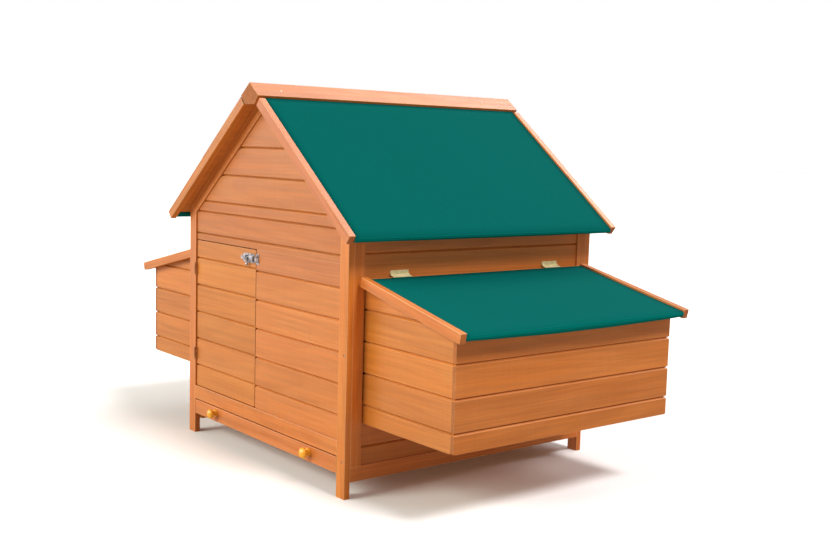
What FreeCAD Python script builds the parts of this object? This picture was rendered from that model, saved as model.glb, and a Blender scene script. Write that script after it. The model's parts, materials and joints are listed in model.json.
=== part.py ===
"""Hen house with two side nesting boxes: a gabled cabin on four legs.

Frame: +Z up, origin on the ground under the middle of the house, X from nest box to nest
box, Y along the ridge. The gable with the door and the pull-out tray faces -Y.
All sizes are millimetres and come from the spreadsheet "Dimensions".
"""
import FreeCAD, Part
import os
import types
import Sketcher

Vector = FreeCAD.Vector

DIMENSIONS = {
    # overall shape
    "ridge_top": 1100.0, "roof_slope": 0.78, "roof_half": 496.0, "eave_half": 503.0,
    "wall_half": 438.0, "gable_half": 452.0,
    # timber stock
    "frame_thick": 18.0, "post_wide": 38.0, "side_post_wide": 35.0, "rail_wide": 40.0,
    "board_recess": 5.0, "board_pitch": 85.0, "seam": 0.5,
    "groove_half": 4.2, "groove_deep": 4.2, "slot_half": 0.7, "slot_deep": 7.5,
    # roof
    "ridge_half": 47.5, "ridge_foot_half": 26.0, "ridge_foot": 1039.0, "ridge_gap": 1.5,
    "batten_gap_right": 9.0, "batten_drop": 2.0, "batten_deep": 27.0, "batten_thick": 18.7,
    "felt_sunk": 6.0, "felt_thick": 2.0, "felt_return": 30.0, "fold_ease": 3.0,
    "deck_thick": 12.0, "rafter_deep": 40.0,
    # front gable
    "sill_bottom": 112.0, "sill_top": 154.0, "door_top": 621.0, "door_left": 397.6,
    "door_right": 37.0, "door_gap": 3.0, "low_groove": 220.0, "door_groove": 222.0,
    "door_pitch": 86.0, "ripped_low": 714.0, "ripped_high": 747.0, "stiffener_wide": 38.0,
    # side walls
    "side_rail_bottom": 45.0, "nest_sill": 264.0, "mid_rail_low": 556.0, "mid_rail_high": 606.0,
    "side_groove": 652.0,
    # nest boxes
    "nest_half": 807.0, "nest_long_half": 395.0, "nest_bottom": 200.0, "nest_top": 491.0,
    "nest_groove": 250.0, "nest_board": 12.0, "nest_floor_low": 202.0, "divider_at": 128.0,
    "divider_thick": 9.0, "divider_top": 400.0,
    # nest lids
    "lid_slope": 0.2245, "lid_near": 452.0, "lid_near_top": 593.0, "lid_far": 850.0,
    "lid_long_half": 420.0, "strip_thick": 19.0, "strip_deep": 26.0, "lid_deck_near": 442.0,
    # hinges and latch
    "pin_radius": 1.5, "pin_play": 0.05, "knuckle_radius": 3.0, "leaf_thick": 1.5,
    "lid_hinge_long": 62.0, "lid_hinge_at": 283.0, "lid_axis_out": 436.3, "lid_axis_up": 592.2,
    "wall_leaf_wide": 12.0, "lid_leaf_wide": 16.0, "door_hinge_long": 38.0,
    "door_hinge_low": 260.0, "door_hinge_high": 532.0, "door_leaf_wide": 18.0,
    "door_leaf_thick": 0.9, "latch_up": 595.0, "bolt_wide": 10.0, "bolt_thick": 4.0,
    "bolt_travel": 22.0, "strap_long": 7.0,
    # tray, perch and fasteners
    "tray_bottom": 64.0, "tray_top": 108.0, "tray_half": 398.0, "tray_floor": 6.0,
    "tray_side": 12.0, "tray_back": 424.0, "knob_at": 264.0, "knob_up": 90.0,
    "knob_radius": 15.0, "perch_at": 150.0, "perch_bottom": 300.0, "perch_wide": 38.0,
    "screw_head": 3.6, "screw_seat": 2.5,
}


class Size:
    """A length held as a number and as the spreadsheet expression that gives it."""

    def __init__(self, value, text):
        self.value = value
        self.text = text

    def __add__(self, other):
        other = as_size(other)
        if other.value == 0:
            return self
        return Size(self.value + other.value, f"({self.text} + {other.text})")

    def __sub__(self, other):
        other = as_size(other)
        return Size(self.value - other.value, f"({self.text} - {other.text})")

    def __mul__(self, other):
        other = as_size(other)
        return Size(self.value * other.value, f"({self.text} * {other.text})")

    def __truediv__(self, other):
        other = as_size(other)
        return Size(self.value / other.value, f"({self.text} / {other.text})")

    def __radd__(self, other):
        return as_size(other) + self

    def __rsub__(self, other):
        return as_size(other) - self

    def __rmul__(self, other):
        return as_size(other) * self

    def __rtruediv__(self, other):
        return as_size(other) / self

    def __neg__(self):
        return Size(-self.value, f"(0 - {self.text})")


def as_size(value):
    if isinstance(value, Size):
        return value
    text = str(value) if value >= 0 else f"(0 - {-value})"
    return Size(float(value), text)


def root(size):
    return Size(size.value ** 0.5, f"sqrt({size.text})")


# ---------------------------------------------------------------- document and sheet

doc = FreeCAD.newDocument("hen_house")
sheet = doc.addObject("Spreadsheet::Sheet", "Dimensions")
for row, (name, value) in enumerate(DIMENSIONS.items(), start=1):
    sheet.set(f"A{row}", name)
    sheet.set(f"B{row}", str(value))
    sheet.setAlias(f"B{row}", name)
doc.recompute()

d = types.SimpleNamespace(
    **{name: Size(value, f"Dimensions.{name}") for name, value in DIMENSIONS.items()})

sub_parts = []


def keep(piece, label, turned=False):
    """Makes an object a named sub-part; turned means half a turn about the Z axis."""
    piece.Label = label
    if turned:
        piece.Placement = FreeCAD.Placement(Vector(0, 0, 0), FreeCAD.Rotation(Vector(0, 0, 1), 180))
    sub_parts.append(piece)
    return piece


# ---------------------------------------------------------------- building blocks

PLANES = {"x": "YZ_Plane", "y": "XZ_Plane", "z": "XY_Plane"}
# an eased corner of a sheet grows by this much for each unit of its thickness
FOLD_GROWTH = round(2 - 2 ** 0.5, 4)


def bind(piece, name, size):
    piece.setExpression(name, as_size(size).text)


def new_sketch(body, normal, offset):
    """A sketch square to one axis. The XZ plane's own normal points along -Y."""
    sketch = body.newObject("Sketcher::SketchObject", f"{body.Name}_sketch")
    plane = [f for f in body.Origin.OriginFeatures if f.Role == PLANES[normal]][0]
    sketch.AttachmentSupport = (plane, [""])
    sketch.MapMode = "FlatFace"
    along = as_size(offset)
    bind(sketch, ".AttachmentOffset.Base.z", -along if normal == "y" else along)
    return sketch


def draw(sketch, loops):
    """Closed straight loops; each corner is held by two dimensions from the origin."""
    for loop in loops:
        first = sketch.GeometryCount
        corners = [(as_size(u), as_size(v)) for u, v in loop]
        spots = [Vector(u.value, v.value, 0) for u, v in corners]
        count = len(spots)
        sketch.addGeometry(
            [Part.LineSegment(spots[i], spots[(i + 1) % count]) for i in range(count)], False)
        joins = [Sketcher.Constraint("Coincident", first + i, 2, first + (i + 1) % count, 1)
                 for i in range(count)]
        start = sketch.ConstraintCount
        sizes = []
        for i, (u, v) in enumerate(corners):
            sizes.append(("DistanceX", i, u))
            sizes.append(("DistanceY", i, v))
        dims = [Sketcher.Constraint(kind, -1, 1, first + i, 1, size.value)
                for kind, i, size in sizes]
        sketch.addConstraint(joins + dims)
        for place, (kind, i, size) in enumerate(sizes):
            bind(sketch, f"Constraints[{start + count + place}]", size)


def prism(name, normal, outline, low, high):
    """A body padded from a closed outline, between two places on one axis."""
    body = doc.addObject("PartDesign::Body", name)
    sketch = new_sketch(body, normal, high if normal == "y" else low)
    draw(sketch, [outline])
    pad = body.newObject("PartDesign::Pad", f"{name}_pad")
    pad.Profile = sketch
    bind(pad, "Length", as_size(high) - low)
    body.Tip = pad
    return body


def cut_through(body, run, loops):
    """Cuts closed profiles right through a body along one axis."""
    sketch = new_sketch(body, run, 0)
    draw(sketch, loops)
    pocket = body.newObject("PartDesign::Pocket", f"{body.Name}_pocket")
    pocket.Profile = sketch
    pocket.Type = "ThroughAll"
    pocket.SideType = "Symmetric"
    body.Tip = pocket


def box(name, x, y, z):
    """A plain board between low and high places on each axis."""
    piece = doc.addObject("Part::Box", name)
    for size_name, axis, (low, high) in zip(("Length", "Width", "Height"), "xyz", (x, y, z)):
        bind(piece, size_name, as_size(high) - low)
        bind(piece, f".Placement.Base.{axis}", low)
    return piece


def rod(name, radius, low, high, shift=(0, 0)):
    """A cylinder along its own Z axis."""
    piece = doc.addObject("Part::Cylinder", name)
    bind(piece, "Radius", radius)
    bind(piece, "Height", as_size(high) - low)
    for axis, size in zip("xyz", (shift[0], shift[1], low)):
        bind(piece, f".Placement.Base.{axis}", size)
    return piece


def fuse(name, members):
    piece = doc.addObject("Part::MultiFuse", name)
    piece.Shapes = members
    return piece


def cut(name, base, tool):
    piece = doc.addObject("Part::Cut", name)
    piece.Base = base
    piece.Tool = tool
    return piece


def group(name, members):
    """Separate solids that share one node."""
    piece = doc.addObject("Part::Compound", name)
    piece.Links = members
    return piece


def place(piece, spot, rotation=FreeCAD.Rotation()):
    """Puts a piece made about its own origin at a spot given as three sizes."""
    piece.Placement = FreeCAD.Placement(Vector(0, 0, 0), rotation)
    for axis, size in zip("xyz", spot):
        bind(piece, f".Placement.Base.{axis}", size)
    return piece


def mirrored(low, high):
    return (-as_size(high), -as_size(low))


def rectangle(u, v):
    return [(u[0], v[0]), (u[1], v[0]), (u[1], v[1]), (u[0], v[1])]


def groove(centre, along, inward):
    """Profile of the joint between two boards: a V with a narrow slot at its root."""
    def spot(a, b):
        return tuple(centre[k] + along[k] * a + inward[k] * b for k in (0, 1))
    return [spot(d.groove_half, 0), spot(d.slot_half, d.groove_deep),
            spot(d.slot_half, d.slot_deep), spot(-d.slot_half, d.slot_deep),
            spot(-d.slot_half, d.groove_deep), spot(-d.groove_half, 0)]


def level_grooves(face, inward, heights):
    """Level grooves in an upright panel whose outer face is at the place given."""
    return [groove((as_size(face), as_size(height)), (0, 1), (inward, 0)) for height in heights]


# ---------------------------------------------------------------- roof lines

slope_long = root(1 + d.roof_slope * d.roof_slope)
roof_cos = 1 / slope_long
roof_sin = d.roof_slope / slope_long
deck_top_drop = d.batten_drop + (d.felt_sunk + d.felt_thick) * slope_long
deck_foot_drop = deck_top_drop + d.deck_thick * slope_long
rafter_drop = deck_foot_drop + d.rafter_deep * slope_long


def roof_line(out, drop):
    """Height at distance `out` from the middle, on the line `drop` below the ridge line."""
    return d.ridge_top - drop - d.roof_slope * out


def below_slope(far, top, cos, sin):
    """Gives points by distance up a slope from its lower end (far, top) and depth below it."""
    def spot(up, deep):
        return (far - cos * up - sin * deep, top + sin * up - cos * deep)
    return spot


def felt_section(spot, run):
    """A felt sheet on a deck, folded round the deck's lower edge and back underneath."""
    thick = d.felt_thick
    deep = d.deck_thick + thick * 2
    inner = thick + d.fold_ease
    outer = d.fold_ease + thick * FOLD_GROWTH
    return [spot(run, 0), spot(outer, 0), spot(0, outer), spot(0, deep - outer),
            spot(outer, deep), spot(d.felt_return, deep), spot(d.felt_return, deep - thick),
            spot(inner, deep - thick), spot(thick, deep - inner), spot(thick, inner),
            spot(inner, thick), spot(run, thick)]


def deck_section(spot, run):
    """The deck inside that fold, with its lower edges eased."""
    thick = d.felt_thick
    deep = d.deck_thick + thick
    inner = thick + d.fold_ease
    return [spot(run, thick), spot(inner, thick), spot(thick, inner),
            spot(thick, deep - d.fold_ease), spot(inner, deep), spot(run, deep)]


def slope_slab(top_drop, deep, top_start, end_out):
    """Section of a slab on the right slope; both ends are square to the slope."""
    end_up = roof_line(end_out, top_drop)
    start_up = roof_line(top_start, top_drop)
    return [(top_start, start_up), (end_out, end_up),
            (end_out - roof_sin * deep, end_up - roof_cos * deep),
            (top_start - roof_sin * deep, start_up - roof_cos * deep)]


def build_ridge():
    """The ridge timber: sloped top faces, square sides and a flat foot."""
    shoulder = roof_line(d.ridge_half, 0)
    outline = [(0, d.ridge_top), (d.ridge_half, shoulder), (d.ridge_foot_half, d.ridge_foot),
               (-d.ridge_foot_half, d.ridge_foot), (-d.ridge_half, shoulder)]
    keep(prism("ridge_beam", "y", outline, -d.roof_half, d.roof_half), "ridge_beam")


def build_roof():
    inner = d.roof_half - d.batten_thick
    battens = []
    for side in ("right", "left"):
        turned = side == "left"
        # the end battens butt against the ridge; the right pair stands off it
        gap = d.batten_gap_right if side == "right" else d.ridge_gap
        batten = slope_slab(d.batten_drop, d.batten_deep, d.ridge_half + gap * roof_cos, d.eave_half)
        for end, (low, high) in (("front", (-d.roof_half, -inner)), ("back", (inner, d.roof_half))):
            if turned:
                low, high = -high, -low
            piece = prism(f"roof_batten_{end}_{side}", "y", batten, low, high)
            if turned:
                piece.Placement = FreeCAD.Placement(
                    Vector(0, 0, 0), FreeCAD.Rotation(Vector(0, 0, 1), 180))
            battens.append(piece)
        # boards and felt run from the ridge to the eave between the end battens
        start = d.ridge_half - d.groove_half
        felt_drop = d.batten_drop + d.felt_sunk * slope_long
        spot = below_slope(d.eave_half, roof_line(d.eave_half, felt_drop), roof_cos, roof_sin)
        run = (d.eave_half - start) * slope_long
        keep(prism(f"roof_deck_{side}", "y", deck_section(spot, run), -inner, inner),
             f"roof_deck_{side}", turned)
        keep(prism(f"roof_felt_{side}", "y", felt_section(spot, run), -inner, inner),
             f"roof_felt_{side}", turned)
    keep(group("roof_battens", battens), "roof_battens")


# ---------------------------------------------------------------- gables

post_in = d.wall_half - d.post_wide
mitre_out = roof_line(d.wall_half, deck_foot_drop) - d.seam
mitre_in = roof_line(post_in, rafter_drop)
gable_inner = d.gable_half - d.frame_thick
board_face = d.gable_half - d.board_recess
post_screw_heights = (100, 386)
post_screw_out = d.wall_half - 12


def post_holes(name, side):
    """Counterbores for the screws that join a gable post to the side frame."""
    holes = []
    for number, height in enumerate(post_screw_heights):
        hole = rod(f"{name}_hole_{number}", d.screw_head, 0, d.screw_seat)
        # the bore runs from the outer face inwards, along +Y
        holes.append(place(hole, (post_screw_out * side, -d.gable_half, height),
                           FreeCAD.Rotation(Vector(1, 0, 0), -90)))
    return group(f"{name}_holes", holes)


def build_gable_frame(end, turned):
    """Two legs that run up as posts and two rafters mitred to them."""
    for side, word in ((1, "right"), (-1, "left")):
        if turned:
            word = "left" if side == 1 else "right"
        outline = [(post_in * side, 0), (d.wall_half * side, 0),
                   (d.wall_half * side, mitre_out), (post_in * side, mitre_in)]
        name = f"{end}_post_{word}"
        blank = prism(f"{name}_blank", "y", outline, -d.gable_half, -gable_inner)
        keep(cut(name, blank, post_holes(name, side)), name, turned)
        # the rafter's head is cut to sit under the ridge timber
        foot = d.ridge_foot - d.seam
        shoulder = d.ridge_foot_half + 10
        outline = [(post_in * side, mitre_in), (d.wall_half * side, mitre_out),
                   (shoulder * side, roof_line(shoulder, deck_foot_drop) - d.seam),
                   ((d.ridge_foot_half + 2) * side, foot), (0, foot), (0, roof_line(0, rafter_drop))]
        name = f"{end}_rafter_{word}"
        keep(prism(name, "y", outline, -d.gable_half, -gable_inner), name, turned)


def gable_outline(low):
    """Boards above a level: upright sides, then the two slopes under the rafters."""
    apex = roof_line(0, rafter_drop)
    return [(-post_in, low), (post_in, low), (post_in, mitre_in), (0, apex), (-post_in, mitre_in)]


def build_front_gable():
    build_gable_frame("front", False)
    keep(box("front_sill_rail", (-post_in, post_in), (-d.gable_half, -gable_inner),
             (d.sill_bottom, d.sill_top)), "front_sill_rail")
    panel_y = (-board_face, -gable_inner)
    above_door = d.door_top + d.door_gap
    panel = prism("front_upper_panel", "y", gable_outline(above_door), *panel_y)
    heights = [d.low_groove + d.board_pitch * 5, d.ripped_low, d.ripped_high,
               d.ripped_high + d.board_pitch, d.ripped_high + d.board_pitch * 2]
    cut_through(panel, "x", level_grooves(-board_face, 1, heights))
    keep(panel, "front_upper_panel")
    fixed_left = d.door_gap - d.door_right
    panel = prism("front_fixed_panel", "y",
                  rectangle((fixed_left, post_in), (d.sill_top, above_door)), *panel_y)
    heights = [d.low_groove + d.board_pitch * step for step in range(5)]
    cut_through(panel, "x", level_grooves(-board_face, 1, heights))
    keep(panel, "front_fixed_panel")
    # battens inside that stiffen the boards and stop the door
    inside = (-gable_inner, d.frame_thick - gable_inner)
    stop = box("stop_upright", (fixed_left - 10, fixed_left + d.stiffener_wide - 10), inside,
               (d.sill_bottom, above_door - 12))
    head = box("stop_head", (-post_in, post_in), inside,
               (above_door - 12, above_door + d.stiffener_wide - 12))
    keep(group("door_stop_battens", [stop, head]), "door_stop_battens")


def build_back_gable():
    build_gable_frame("back", True)
    top = d.side_rail_bottom + d.rail_wide
    keep(box("back_bottom_rail", (-post_in, post_in), (gable_inner, d.gable_half),
             (d.side_rail_bottom, top)), "back_bottom_rail")
    panel = prism("back_panel", "y", gable_outline(top), gable_inner, board_face)
    heights = [d.low_groove + d.board_pitch * step for step in range(-1, 9)]
    cut_through(panel, "x", level_grooves(board_face, -1, heights))
    keep(panel, "back_panel")


# ---------------------------------------------------------------- side walls

side_inner = d.wall_half - d.frame_thick
side_face = d.wall_half - d.board_recess
side_rail_top = d.side_rail_bottom + d.rail_wide
side_post_in = gable_inner - d.side_post_wide
plate_top = mitre_out
plate_low = plate_top - d.post_wide


def build_side_walls():
    rails = []
    for side, wall_x in (("right", (side_inner, d.wall_half)),
                         ("left", mirrored(side_inner, d.wall_half))):
        rails.append(box(f"side_bottom_rail_{side}", wall_x, (-gable_inner, gable_inner),
                         (d.side_rail_bottom, side_rail_top)))
    keep(group("side_bottom_rails", rails), "side_bottom_rails")
    for side in ("right", "left"):
        turned = side == "left"
        timbers = []
        for end, post_y in (("front", mirrored(side_post_in, gable_inner)),
                            ("back", (side_post_in, gable_inner))):
            timbers.append(box(f"side_post_{end}_{side}", (side_inner, d.wall_half), post_y,
                               (side_rail_top, plate_low - d.seam)))
        timbers.append(box(f"wall_plate_{side}", (side_inner, d.wall_half),
                           (-gable_inner, gable_inner), (plate_low, plate_top)))
        timbers.append(box(f"mid_rail_{side}", (side_inner - d.frame_thick, side_inner),
                           (-gable_inner, gable_inner), (d.mid_rail_low, d.mid_rail_high)))
        keep(group(f"side_frame_{side}", timbers), f"side_frame_{side}", turned)
        # boards above the nest box and below it; the gap between is the way into the nests
        for part, low, high, heights in (
                ("upper", d.mid_rail_low, plate_low, [d.side_groove]),
                ("lower", side_rail_top, d.nest_sill, [d.low_groove - d.board_pitch, d.low_groove])):
            name = f"side_{part}_panel_{side}"
            panel = prism(name, "x", rectangle((-side_post_in, side_post_in), (low, high)),
                          side_inner, side_face)
            cut_through(panel, "y", level_grooves(side_face, -1, heights))
            keep(panel, name, turned)


# ---------------------------------------------------------------- nest boxes and lids

lid_long = root(1 + d.lid_slope * d.lid_slope)
lid_cos = 1 / lid_long
lid_sin = d.lid_slope / lid_long
lid_foot = d.felt_sunk + d.felt_thick + d.deck_thick


def lid_line(out, depth):
    """Height on the lid at distance `out`, at a depth square to its strips' top faces."""
    return d.lid_near_top - depth * lid_long - d.lid_slope * (out - d.lid_near)


def lid_slab(depth, deep, near, far):
    """Section of a slab of the right lid; both ends are square to the lid."""
    return [(near, lid_line(near, depth)), (far, lid_line(far, depth)),
            (far - lid_sin * deep, lid_line(far, depth) - lid_cos * deep),
            (near - lid_sin * deep, lid_line(near, depth) - lid_cos * deep)]


def build_nests():
    floors = []
    dividers = []
    outer_in = d.nest_half - d.nest_board
    end_in = d.nest_long_half - d.nest_board
    floor_high = d.nest_floor_low + d.nest_board
    heights = [d.nest_groove + d.board_pitch * step for step in range(3)]
    for side in ("right", "left"):
        turned = side == "left"
        ends = []
        for end, low, high, face, inward in (
                ("front", -d.nest_long_half, -end_in, -d.nest_long_half, 1),
                ("back", end_in, d.nest_long_half, d.nest_long_half, -1)):
            outline = [(side_face, d.nest_bottom), (outer_in, d.nest_bottom),
                       (outer_in, lid_line(outer_in, lid_foot) - d.seam),
                       (side_face, lid_line(side_face, lid_foot) - d.seam)]
            panel = prism(f"nest_end_{end}_{side}", "y", outline, low, high)
            end_heights = heights + [d.nest_groove + d.board_pitch * 3]
            cut_through(panel, "x", level_grooves(face, inward, end_heights))
            ends.append(panel)
        keep(group(f"nest_end_panels_{side}", ends), f"nest_end_panels_{side}", turned)
        name = f"nest_outer_panel_{side}"
        panel = prism(name, "x", rectangle((-d.nest_long_half, d.nest_long_half),
                                           (d.nest_bottom, d.nest_top)), outer_in, d.nest_half)
        cut_through(panel, "y", level_grooves(d.nest_half, -1, heights))
        keep(panel, name, turned)
        span = (side_face, outer_in) if side == "right" else mirrored(side_face, outer_in)
        floors.append(box(f"nest_floor_{side}", span, (-end_in, end_in),
                          (d.nest_floor_low, floor_high)))
        for number, middle in enumerate((-d.divider_at, d.divider_at)):
            half = d.divider_thick / 2
            dividers.append(box(f"nest_divider_{side}_{number}", span,
                                (middle - half, middle + half), (floor_high, d.divider_top)))
    keep(group("nest_floors", floors), "nest_floors")
    keep(group("nest_dividers", dividers), "nest_dividers")


def build_lids():
    inner = d.lid_long_half - d.strip_thick
    for side in ("right", "left"):
        turned = side == "left"
        # wooden strips along both ends stand a little above the felt
        strips = []
        for end, low, high in (("front", -d.lid_long_half, -inner), ("back", inner, d.lid_long_half)):
            strips.append(prism(f"lid_strip_{end}_{side}", "y",
                                lid_slab(0, d.strip_deep, d.lid_near, d.lid_far), low, high))
        keep(group(f"lid_strips_{side}", strips), f"lid_strips_{side}", turned)
        spot = below_slope(d.lid_far, lid_line(d.lid_far, d.felt_sunk), lid_cos, lid_sin)
        run = (d.lid_far - d.lid_deck_near - lid_sin * d.felt_thick) * lid_long
        name = f"lid_deck_{side}"
        deck = prism(name, "y", deck_section(spot, run), -inner, inner)
        seams = []
        for step in range(4):
            out = d.lid_near + d.board_pitch * (step + 0.5)
            centre = (out, lid_line(out, lid_foot))
            seams.append(groove(centre, (lid_cos, -lid_sin), (lid_sin, lid_cos)))
        cut_through(deck, "y", seams)
        keep(deck, name, turned)
        run = (d.lid_far - d.lid_near) * lid_long
        keep(prism(f"lid_felt_{side}", "y", felt_section(spot, run), -inner, inner),
             f"lid_felt_{side}", turned)


# ---------------------------------------------------------------- hinges

def hinge_leaf(name, long, wide, plate, knuckles):
    """A butt hinge leaf about its own Z axis: plate along +X, its knuckles and their bore.

    plate gives the two faces of the plate along Y, knuckles the stretches of the axis that
    belong to this leaf. The plate is cut back from the other leaf's knuckles.
    """
    clear = d.knuckle_radius + 0.4
    tab_start = d.pin_radius + 0.4
    members = [box(f"{name}_plate", (clear, wide), plate, (0, long))]
    for number, (low, high) in enumerate(knuckles):
        members.append(box(f"{name}_tab_{number}", (tab_start, clear), plate, (low, high)))
        members.append(rod(f"{name}_knuckle_{number}", d.knuckle_radius, low, high))
    solid = fuse(f"{name}_solid", members)
    bore = rod(f"{name}_bore", d.pin_radius + d.pin_play, -1, long + 1)
    return cut(name, solid, bore)


def knuckle_stretches(long):
    """Outer thirds for the fixed leaf and the middle third for the moving leaf."""
    third = long / 3
    play = 0.3
    return [(0, third - play), (third * 2 + play, long)], [(third, third * 2)]


def axis_frame(x_axis, z_axis):
    """Rotation that sends local X and Z to two directions square to each other."""
    x = Vector(*x_axis)
    z = Vector(*z_axis)
    return FreeCAD.Rotation(x, z.cross(x), z, "ZXY")


def build_lid_hinges():
    fixed, moving = knuckle_stretches(d.lid_hinge_long)
    to_wall = d.lid_axis_out - side_face
    wall_plate = (-to_wall, d.leaf_thick - to_wall)
    # square distance from the pin down to the felt
    axis_height = (d.lid_axis_up - lid_line(d.lid_axis_out, d.felt_sunk)) * lid_cos
    lid_plate = (axis_height - d.leaf_thick, axis_height)
    wall_leaves = []
    pins = []
    for side in ("right", "left"):
        turned = side == "left"
        lid_leaves = []
        for number, middle in enumerate((-d.lid_hinge_at, d.lid_hinge_at)):
            start = middle - d.lid_hinge_long / 2
            spot = (d.lid_axis_out, start, d.lid_axis_up)
            tag = f"{side}_{number}"
            leaf = hinge_leaf(f"wall_leaf_{tag}", d.lid_hinge_long, d.wall_leaf_wide, wall_plate, fixed)
            pin = rod(f"lid_pin_{tag}", d.pin_radius, 0, d.lid_hinge_long)
            upright = axis_frame((0, 0, 1), (0, 1, 0))
            place(leaf, spot, upright)
            place(pin, spot, upright)
            if turned:
                leaf = half_turn(f"wall_leaf_{tag}_turned", leaf)
                pin = half_turn(f"lid_pin_{tag}_turned", pin)
            wall_leaves.append(leaf)
            pins.append(pin)
            leaf = hinge_leaf(f"lid_leaf_{tag}", d.lid_hinge_long, d.lid_leaf_wide, lid_plate, moving)
            down_slope = axis_frame((lid_cos.value, 0, -lid_sin.value), (0, 1, 0))
            lid_leaves.append(place(leaf, spot, down_slope))
        keep(group(f"lid_hinge_leaves_{side}", lid_leaves), f"lid_hinge_leaves_{side}", turned)
    keep(group("lid_hinge_wall_leaves", wall_leaves), "lid_hinge_wall_leaves")
    return pins


def half_turn(name, piece):
    """A copy's place after half a turn about the Z axis of the house."""
    holder = group(name, [piece])
    holder.Placement = FreeCAD.Placement(Vector(0, 0, 0), FreeCAD.Rotation(Vector(0, 0, 1), 180))
    return holder


door_axis_x = -(post_in - (post_in - d.door_left) / 2)
door_axis_y = -(d.gable_half + d.knuckle_radius + 0.3)


def build_door_hinges():
    fixed, moving = knuckle_stretches(d.door_hinge_long)
    half_gap = (post_in - d.door_left) / 2
    frame_plate = (half_gap - d.door_leaf_thick, half_gap)
    door_plate = (-half_gap, d.door_leaf_thick - half_gap)
    inward = axis_frame((0, 1, 0), (0, 0, 1))
    frame_leaves = []
    door_leaves = []
    pins = []
    for number, height in enumerate((d.door_hinge_low, d.door_hinge_high)):
        spot = (door_axis_x, door_axis_y, height - d.door_hinge_long / 2)
        leaf = hinge_leaf(f"frame_leaf_{number}", d.door_hinge_long, d.door_leaf_wide, frame_plate, fixed)
        frame_leaves.append(place(leaf, spot, inward))
        leaf = hinge_leaf(f"door_leaf_{number}", d.door_hinge_long, d.door_leaf_wide, door_plate, moving)
        door_leaves.append(place(leaf, spot, inward))
        pins.append(place(rod(f"door_pin_{number}", d.pin_radius, 0, d.door_hinge_long), spot))
    keep(group("door_hinge_frame_leaves", frame_leaves), "door_hinge_frame_leaves")
    keep(group("door_hinge_door_leaves", door_leaves), "door_hinge_door_leaves")
    return pins


# ---------------------------------------------------------------- door and latch

def build_door():
    outline = rectangle((-d.door_left, -d.door_right), (d.sill_top + 2, d.door_top))
    door_back = -(gable_inner + d.seam)
    panel = prism("door_panel", "y", outline, -board_face, door_back)
    heights = [d.door_groove + d.door_pitch * step for step in range(5)]
    cut_through(panel, "x", level_grooves(-board_face, 1, heights))
    keep(panel, "door_panel")
    battens = []
    for number, left in enumerate((12 - d.door_left, -(d.door_right + 15 + d.stiffener_wide))):
        battens.append(box(f"door_batten_{number}", (left, left + d.stiffener_wide),
                          (door_back, door_back + d.frame_thick),
                          (d.sill_top + 14, d.door_top - 15)))
    keep(group("door_battens", battens), "door_battens")


def strap(name, left, long, face):
    """A low bridge that the flat bolt slides through, standing on a plate's front face."""
    play = 0.5
    wall = 1.6
    half = d.bolt_wide / 2 + play
    reach = d.bolt_thick + play * 2
    block = box(f"{name}_block", (left, left + long), (face - reach - wall, face),
                (d.latch_up - half - wall * 2, d.latch_up + half + wall * 2))
    slot = box(f"{name}_slot", (left - 1, left + long + 1), (face - reach, face + 1),
               (d.latch_up - half, d.latch_up + half))
    return cut(name, block, slot)


latch_plate_face = -(board_face + d.leaf_thick)


def latch_base(name, left, long, half_high, point, screws):
    """A thin plate on the boards with screw heads; point is how far its left end tapers."""
    low, high = d.latch_up - half_high, d.latch_up + half_high
    outline = [(left, d.latch_up - half_high + point), (left + point, low), (left + long, low),
               (left + long, high), (left + point, high), (left, d.latch_up + half_high - point)]
    members = [prism(f"{name}_sheet", "y", outline, latch_plate_face, -board_face)]
    for number, (along, up) in enumerate(screws):
        head = rod(f"{name}_screw_{number}", 2.8, 0, 0.8)
        members.append(place(head, (along, latch_plate_face, d.latch_up + up),
                             FreeCAD.Rotation(Vector(1, 0, 0), 90)))
    return members


def build_latch():
    near = -(d.door_right + 14)
    far = near - d.bolt_travel - 19
    screws = [(x, up) for x in (near - 13, far + 12) for up in (-10.5, 10.5)]
    members = latch_base("latch_base", far - 18, 68, 13.5, 8, screws)
    for name, left in (("near", near), ("far", far)):
        members.append(strap(f"latch_strap_{name}", left, d.strap_long, latch_plate_face))
    keep(fuse("latch_plate", members), "latch_plate")
    members = latch_base("keeper_base", -33, 14, 16, 2, [(-27, -12.2), (-27, 12.2)])
    members.append(strap("keeper_strap", -31, d.strap_long + 1, latch_plate_face))
    keep(fuse("latch_keeper", members), "latch_keeper")
    # flat bolt, drawn back at rest, with a turned-down finger lever
    back = latch_plate_face - 0.5
    bar = box("bolt_bar", (far - d.bolt_travel, -(d.door_right + 5)), (back - d.bolt_thick, back),
              (d.latch_up - d.bolt_wide / 2, d.latch_up + d.bolt_wide / 2))
    lever_x = far + d.strap_long + 8
    lever_y = back - d.bolt_thick - 1.5
    lever = rod("bolt_lever", 3, d.latch_up - 18, d.latch_up + 3, (lever_x, lever_y))
    tip = doc.addObject("Part::Sphere", "bolt_tip")
    bind(tip, "Radius", 4.5)
    place(tip, (lever_x, lever_y, d.latch_up - 18))
    keep(fuse("latch_bolt", [bar, lever, tip]), "latch_bolt")


# ---------------------------------------------------------------- tray, perch, fasteners

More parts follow.
